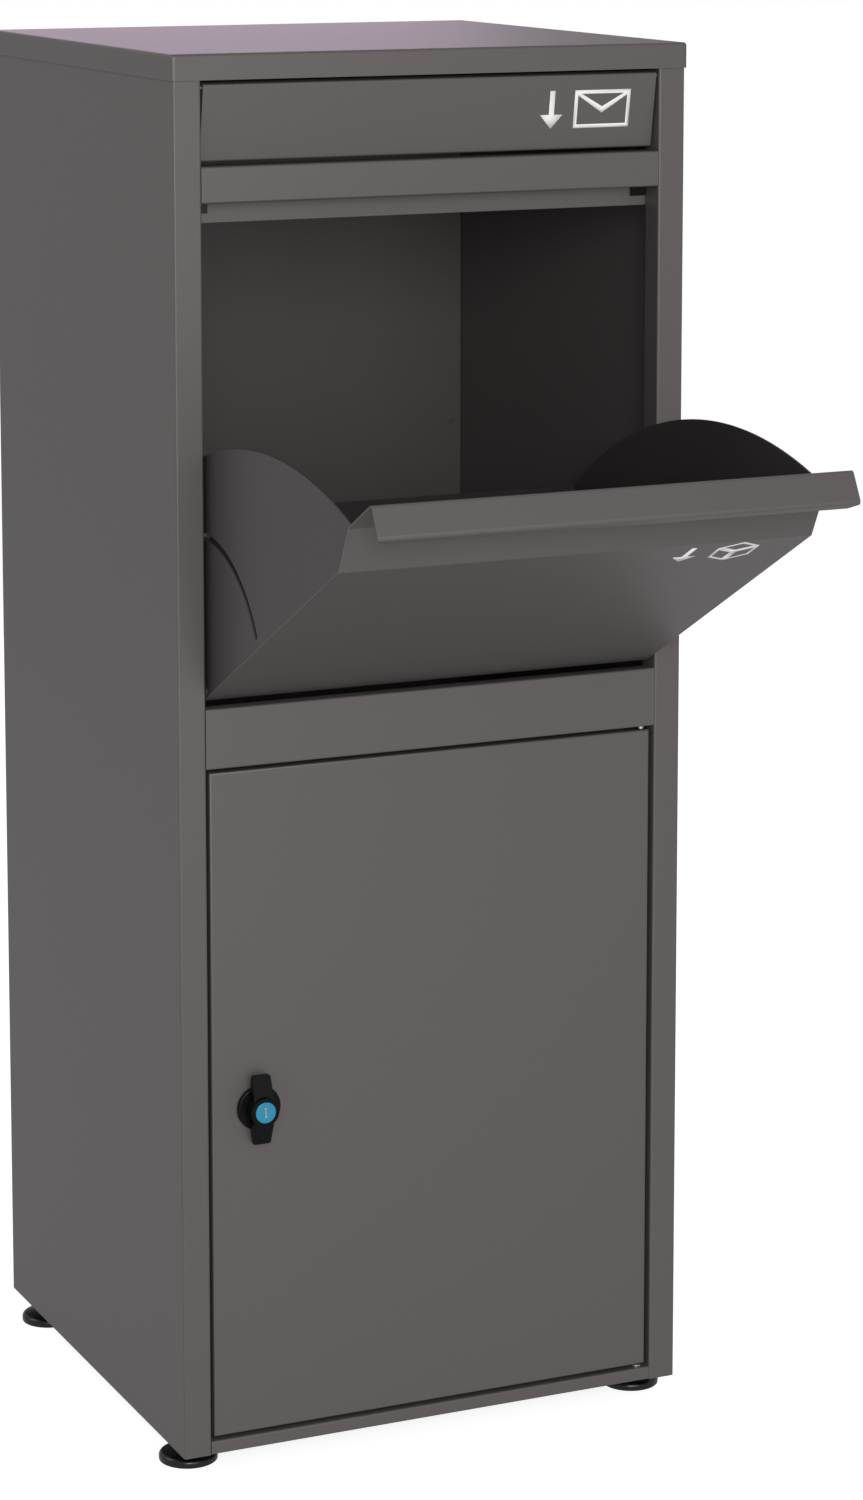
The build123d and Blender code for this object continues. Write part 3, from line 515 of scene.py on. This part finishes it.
@dataclass
class Hardware:
    """Pins, bushes, nuts, rivets, screws and feet: turned and moulded pieces with broken edges."""

    turned_edge_mm: float = 0.25
    rivet_edge_mm: float = 0.55
    pad_edge_mm: float = 0.6
    nut_edge_mm: float = 0.4

    def build(self) -> None:
        """Round every piece's edges and dress it in its own finish."""
        feet = [(f"foot_{c.value}", c.value) for c in Corner]
        rows = [
            ("cabinet", ZINC_PLATE, self.turned_edge_mm, "drawer_pivot_pins"),
            ("cabinet", PAINTED_FASTENER, self.turned_edge_mm, "drawer_stop_studs"),
            ("cabinet", ZINC_PLATE, self.turned_edge_mm, "door_hinge_pin_bottom"),
            ("cabinet", ZINC_PLATE, self.turned_edge_mm, "door_hinge_pin_top"),
            ("cabinet", ZINC_PLATE, self.nut_edge_mm / 2, "door_pin_clip"),
            ("cabinet", ZINC_PLATE, self.nut_edge_mm, "foot_inserts"),
            ("cabinet", BLACK_OXIDE, self.nut_edge_mm, "foot_lock_nuts"),
            ("cabinet", PAINTED_FASTENER, self.rivet_edge_mm, "cap_screws"),
            ("cabinet", PAINTED_FASTENER, self.rivet_edge_mm, "back_rivets"),
            ("drawer", PAINTED_FASTENER, self.rivet_edge_mm, "drawer_rivets"),
            ("drawer", NYLON, self.turned_edge_mm, "drawer_bushes"),
            ("flap", ZINC_PLATE, self.turned_edge_mm, "flap_pivot_pins"),
            ("door", NYLON, self.turned_edge_mm, "door_bushes"),
            ("door", ZINC_PLATE, self.nut_edge_mm, "lock_nut"),
            ("knob", ZINC_PLATE, self.turned_edge_mm, "lock_cam"),
            ("knob", ZINC_PLATE, self.turned_edge_mm, "cam_screw"),
        ]
        for body, corner in feet:
            rows.append((body, FOOT_PLASTIC, self.pad_edge_mm, f"foot_pad_{corner}"))
        for body, corner in feet:
            rows.append((body, BLACK_OXIDE, self.turned_edge_mm, f"foot_stud_{corner}"))
        for body, finish, edge_mm, node in rows:
            soften(node, f"{node}_turned", body, finish, edge_mm, segments=3)


@dataclass
class WingKnobLock:
    """The lock on the door: rosette, winged knob, coloured key plug and its keyway."""

    wing_edge_mm: float = 0.9
    rosette_edge_mm: float = 0.8
    plug_edge_mm: float = 0.5
    keyway_mm: tuple[float, float, float] = (1.5, 5.0, 7.4)
    keyhole_mm: float = 0.5
    keyway_edge_mm: float = 0.12
    sunk_mm: float = 0.1

    def build(self) -> None:
        """Make the moulded pieces, then the metal keyway in the plug."""
        soften("lock_body", "lock_rosette", "door", KNOB_PLASTIC, self.rosette_edge_mm, segments=4)
        soften("wing_knob", "winged_knob", "knob", KNOB_PLASTIC, self.wing_edge_mm, segments=4)
        soften("key_plug", "key_plug_cap", "plug", BLUE_CAP, self.plug_edge_mm, segments=4)
        self.keyway()

    def keyway(self) -> bpy.types.Object:
        """A nickel-silver plate that fills the plug's slit, with a keyhole sunk into its face."""
        low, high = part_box("key_plug")
        wide, deep, tall = (v * MM for v in self.keyway_mm)
        face = low.y + self.sunk_mm * MM
        deselect()
        bpy.ops.mesh.primitive_cube_add(
            size=1, location=((low.x + high.x) / 2, face + deep / 2, (low.z + high.z) / 2)
        )
        plate = bpy.context.object
        plate.name = "keyway_plate"
        plate.scale = (wide, deep, tall)
        settle(plate)
        edit(plate, lambda front: front.normal.y < SQUARE_ON)
        bpy.ops.mesh.inset(thickness=(wide - self.keyhole_mm * MM) / 2)
        bpy.ops.mesh.extrude_region_move(TRANSFORM_OT_translate={"value": (0, deep / 2, 0)})
        bpy.ops.object.mode_set(mode="OBJECT")
        modify(
            plate, "BEVEL", width=self.keyway_edge_mm * MM, segments=2, limit_method="ANGLE"
        )
        face_outwards(plate)
        settle(plate)
        return mount(plate, NICKEL_SILVER, "plug")


@dataclass(frozen=True)
class Mark:
    """A printed pictogram, drawn as closed outlines in millimetres.

    Attributes:
        name: the piece's name.
        outlines: closed outlines, counted as solid or hole by how they nest.
    """

    name: str
    outlines: tuple[tuple[tuple[float, float], ...], ...]


def shrunk(outline: tuple, keep: float) -> tuple:
    """Shrink a closed outline towards its middle, keeping this fraction of its size."""
    middle = [sum(p[i] for p in outline) / len(outline) for i in (0, 1)]
    return tuple(tuple(m + (v - m) * keep for v, m in zip(p, middle)) for p in outline)


def moved(outline: tuple, right: float) -> tuple:
    """Move an outline to the right."""
    return tuple((x + right, y) for x, y in outline)


def outer_face(node: str) -> tuple[Vector, list[Vector]]:
    """Find a panel's largest forward-facing flat face.

    Args:
        node: the CAD node.

    Returns:
        Its outward normal and its corner points.
    """
    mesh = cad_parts[node].data
    faces: dict[tuple, list[bpy.types.MeshPolygon]] = {}
    for face in mesh.polygons:
        if face.normal.y < FORWARD:
            level = round(face.center.dot(face.normal) / MM, 1)
            faces.setdefault((*(round(v, 2) for v in face.normal), level), []).append(face)
    best = max(faces.values(), key=lambda group: sum(face.area for face in group))
    corners = [mesh.vertices[i].co.copy() for face in best for i in face.vertices]
    return best[0].normal.copy(), corners


@dataclass
class Pictograms:
    """White printed marks: an envelope on the flap and a parcel on the drawer, each with an arrow.

    Attributes:
        film_mm: thickness of the ink.
        line_mm: width of a drawn line.
        envelope_mm: the envelope's width and height.
        lid_line: the opened line over the lid's point, in line widths.
        fold_line: how far the folds start below the envelope's corners, in line widths.
        fold_point: how low the folds meet, as a fraction of half the height.
        parcel_mm: from the carton's middle to a corner.
        carton_lines: what the carton's faces shrink by, in line widths.
        arrow_mm: the arrow's width and height.
        arrow_head: the head's height over half its width.
        arrow_shaft: half the shaft's width, in line widths.
        arrow_gap_mm: from the arrow's middle to the picture beside it.
        flap_inset_mm: from the flap's right end to the envelope.
        flap_drop_mm: from the top of the flap's face to the mark's middle.
        drawer_inset_mm: from the drawer panel's right end to the carton.
        drawer_drop_mm: from the top of the panel's flat face to the mark's middle.
    """

    film_mm: float = 0.12
    line_mm: float = 2.7
    envelope_mm: tuple[float, float] = (45.0, 28.0)
    lid_line: float = 0.6
    fold_line: float = 1.4
    fold_point: float = 0.22
    parcel_mm: float = 18.5
    carton_lines: float = 2.1
    arrow_mm: tuple[float, float] = (18.0, 28.0)
    arrow_head: float = 1.15
    arrow_shaft: float = 0.75
    arrow_gap_mm: float = 18.0
    flap_inset_mm: float = 20.0
    flap_drop_mm: float = 24.0
    drawer_inset_mm: float = 32.0
    drawer_drop_mm: float = 21.5

    def build(self) -> None:
        """Print both marks, each level with the right-hand end of its panel."""
        half = self.envelope_mm[0] / 2
        letters_arrow = self.arrow(-half - self.arrow_gap_mm)
        parcels_arrow = self.arrow(-self.parcel_mm - self.arrow_gap_mm)
        self.print_on(
            "flap_plate",
            "flap",
            Mark("letters_pictogram", (*self.envelope(), letters_arrow)),
            self.flap_inset_mm + half,
            self.flap_drop_mm,
        )
        self.print_on(
            "drawer_front",
            "drawer",
            Mark("parcels_pictogram", (*self.parcel(), parcels_arrow)),
            self.drawer_inset_mm + self.parcel_mm,
            self.drawer_drop_mm,
        )

    def envelope(self) -> tuple:
        """An envelope seen from its flap side, with the flap's folds as lines."""
        w, h = (v / 2 for v in self.envelope_mm)
        t = self.line_mm
        outside = ((-w, -h), (w, -h), (w, h), (-w, h))
        under_lid = ((-w + 2 * t, h - t), (w - 2 * t, h - t), (0, self.lid_line * t))
        fold = h - self.fold_line * t
        point = (0, -h * self.fold_point)
        below = ((-w + t, -h + t), (w - t, -h + t), (w - t, fold), point, (-w + t, fold))
        return outside, under_lid, below

    def parcel(self) -> tuple:
        """A closed carton seen from a corner above: three faces with lines between them."""
        r = self.parcel_mm
        turns = [math.radians(angle) for angle in range(0, 360, 60)]
        ring = [(r * math.sin(turn), r * math.cos(turn)) for turn in turns]
        top = (ring[0], ring[1], (0.0, 0.0), ring[5])
        right = (ring[1], ring[2], ring[3], (0.0, 0.0))
        left = ((0.0, 0.0), ring[3], ring[4], ring[5])
        keep = 1 - self.carton_lines * self.line_mm / r
        return (tuple(ring), *(shrunk(face, keep) for face in (top, right, left)))

    def arrow(self, right: float) -> tuple:
        """A downward arrow this far right of the mark's middle."""
        w, h = (v / 2 for v in self.arrow_mm)
        shaft = self.line_mm * self.arrow_shaft
        neck = -h + self.arrow_head * w
        shape = ((0, -h), (w, neck), (shaft, neck), (shaft, h))
        mirrored = tuple((-x, y) for x, y in reversed(shape[1:]))
        return moved((*shape, *mirrored), right)

    def print_on(
        self, node: str, body: str, mark: Mark, inset_mm: float, drop_mm: float
    ) -> bpy.types.Object:
        """Lay a mark on a panel's outer face.

        Args:
            node: the panel's CAD node.
            body: the body it rides on.
            mark: the outlines.
            inset_mm: from the panel's right end to the mark's middle.
            drop_mm: from the face's upper edge down to the mark's middle, along the face.

        Returns:
            The printed piece.
        """
        normal, corners = outer_face(node)
        up = normal.cross(Vector((1, 0, 0))).normalized()
        top = max(corners, key=up.dot)
        curve = bpy.data.curves.new(mark.name, "CURVE")
        curve.dimensions = "2D"
        curve.fill_mode = "BOTH"
        curve.extrude = self.film_mm * MM / 2
        for outline in mark.outlines:
            line = curve.splines.new("POLY")
            line.points.add(len(outline) - 1)
            line.use_cyclic_u = True
            for point, (x, y) in zip(line.points, outline):
                point.co = (x * MM, y * MM, 0, 1)
        piece = bpy.data.objects.new(mark.name, curve)
        bpy.context.scene.collection.objects.link(piece)
        pick(piece)
        bpy.ops.object.convert(target="MESH")
        piece = bpy.context.object
        piece.data.materials.clear()
        place = top - up * drop_mm * MM + normal * self.film_mm * MM / 2
        place.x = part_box(node)[1].x - inset_mm * MM
        turn = Matrix((Vector((1, 0, 0)), up, normal)).transposed().to_4x4()
        piece.matrix_world = Matrix.Translation(place) @ turn
        settle(piece)
        face_outwards(piece)
        return mount(piece, PRINTED_INK, body)


@dataclass(frozen=True)
class Lamp:
    """A soft square lamp.

    Attributes:
        name: what it lights.
        place: where it stands.
        aim: the point it faces.
        size: its side.
        watts: its power.
        tint: sRGB hex of its light.
    """

    name: str
    place: tuple[float, float, float]
    aim: tuple[float, float, float]
    size: float
    watts: float
    tint: str

    def build(self) -> None:
        """Hang the lamp and turn it to its aim."""
        data = bpy.data.lights.new(f"{self.name}_lamp", "AREA")
        data.size = self.size
        data.energy = self.watts
        data.color = srgb(self.tint)[:3]
        lamp = bpy.data.objects.new(f"{self.name}_lamp", data)
        lamp.location = self.place
        facing = Vector(self.aim) - Vector(self.place)
        lamp.rotation_euler = facing.to_track_quat("-Z", "Y").to_euler()
        bpy.context.scene.collection.objects.link(lamp)


@dataclass
class Studio:
    """The pale floor, the soft lights and the camera.

    Attributes:
        camera_place: where the camera stands.
        camera_yaw: degrees that it turns to the right of straight back.
        camera_down: degrees that it looks down.
        lens_mm: its focal length.
        sensor_mm: its sensor's longer side.
        shift_y: how far the picture slides down, as a fraction of that side.
        surround: how strongly the sky lights the box.
        backdrop: how bright the sky shows.
        floor_size: the floor's side.
        floor_lit: sRGB hex of the floor that lights the box.
        floor_light: how strongly that floor glows.
        floor_seen: sRGB hex of the floor that shows.
        floor_glow: how strongly that one glows.
        floor_roughness: how matt both are.
        lamps: the front lamp, the key from the left, the side lamp and the one behind the top.
    """

    camera_place: tuple[float, float, float] = (-1.200, -2.690, 1.186)
    camera_yaw: float = 24.35
    camera_down: float = 8.21
    lens_mm: float = 97.8
    sensor_mm: float = 36.0
    shift_y: float = -0.22
    surround: float = 0.45
    backdrop: float = 1.0
    floor_size: float = 6.0
    floor_lit: str = "8a8a8a"
    floor_light: float = 0.35
    floor_seen: str = "b4b4b4"
    floor_glow: float = 0.84
    floor_roughness: float = 0.8
    lamps: tuple[Lamp, ...] = (
        Lamp("front", (-0.6, -3.4, 1.1), (0, 0, 0.62), 2.8, 54.0, "fffaf8"),
        Lamp("key", (-1.2, -3.4, 1.6), (0, 0, 0.85), 0.9, 34.0, "fffaf8"),
        Lamp("side", (-2.3, 1.2, 2.2), (-0.2, 0, 1.0), 1.4, 12.5, "fff6f6"),
        Lamp("back", (0.7, 2.9, 1.75), (0, 0.1, 1.03), 1.4, 10.5, "e8cae8"),
    )

    def build(self) -> None:
        """Make the floor, the sky, the lamps and the camera."""
        self.floor()
        self.sky()
        for lamp in self.lamps:
            lamp.build()
        self.camera()

    def floor(self) -> None:
        """A wide pale floor at the height of the feet."""
        deselect()
        bpy.ops.mesh.primitive_plane_add(size=self.floor_size, location=(0, 0, CAD_BOX[0].z))
        floor = bpy.context.object
        floor.name = "studio_floor"
        material = bpy.data.materials.new("studio_floor")
        material.use_nodes = True
        tree = material.node_tree
        tree.nodes.clear()
        plain = {"Roughness": self.floor_roughness, "Emission Color": srgb("ffffff")}
        felt, seen = (
            add_node(
                tree,
                "BsdfPrincipled",
                {**plain, "Base Color": srgb(colour), "Emission Strength": glow},
            )
            for colour, glow in (
                (self.floor_lit, self.floor_light),
                (self.floor_seen, self.floor_glow),
            )
        )
        both = self.camera_sees(tree, felt, seen)
        add_node(tree, "OutputMaterial", Surface=both.outputs[0])
        floor.data.materials.append(material)

    def sky(self) -> None:
        """A white surround that shows brighter than it lights the box."""
        world = bpy.data.worlds.new("studio")
        world.use_nodes = True
        tree = world.node_tree
        tree.nodes.clear()
        felt, seen = (
            add_node(tree, "Background", {"Color": srgb("ffffff"), "Strength": strength})
            for strength in (self.surround, self.backdrop)
        )
        both = self.camera_sees(tree, felt, seen)
        add_node(tree, "OutputWorld", Surface=both.outputs[0])
        bpy.context.scene.world = world

    def camera_sees(
        self, tree: bpy.types.NodeTree, felt: bpy.types.Node, seen: bpy.types.Node
    ) -> bpy.types.Node:
        """Join two shaders of the studio, one that lights the box and one that the picture shows.

        Args:
            tree: the floor's or the sky's nodes.
            felt: the shader that lights the box.
            seen: the shader behind it in the picture.

        Returns:
            The node that mixes them.
        """
        path = add_node(tree, "LightPath")
        both = add_node(tree, "MixShader", Fac=path.outputs["Is Camera Ray"])
        tree.links.new(felt.outputs[0], both.inputs[1])
        tree.links.new(seen.outputs[0], both.inputs[2])
        return both

    def camera(self) -> None:
        """Stand the camera to the front left, looking slightly down."""
        data = bpy.data.cameras.new("camera")
        data.lens = self.lens_mm
        data.sensor_width = self.sensor_mm
        data.shift_y = self.shift_y
        camera = bpy.data.objects.new("camera", data)
        camera.location = self.camera_place
        tilt, yaw = math.radians(90 - self.camera_down), math.radians(-self.camera_yaw)
        camera.rotation_euler = (tilt, 0, yaw)
        bpy.context.scene.collection.objects.link(camera)
        bpy.context.scene.camera = camera


def main() -> None:
    """Build the sub-assemblies in order, then the studio."""
    logging.basicConfig(level=logging.INFO, format="%(message)s")
    bpy.context.scene.view_settings.view_transform = "Standard"
    Studio().build()
    for assembly in (Sheetwork(), Hardware(), WingKnobLock(), Pictograms()):
        assembly.build()


if __name__ == "__main__":
    main()
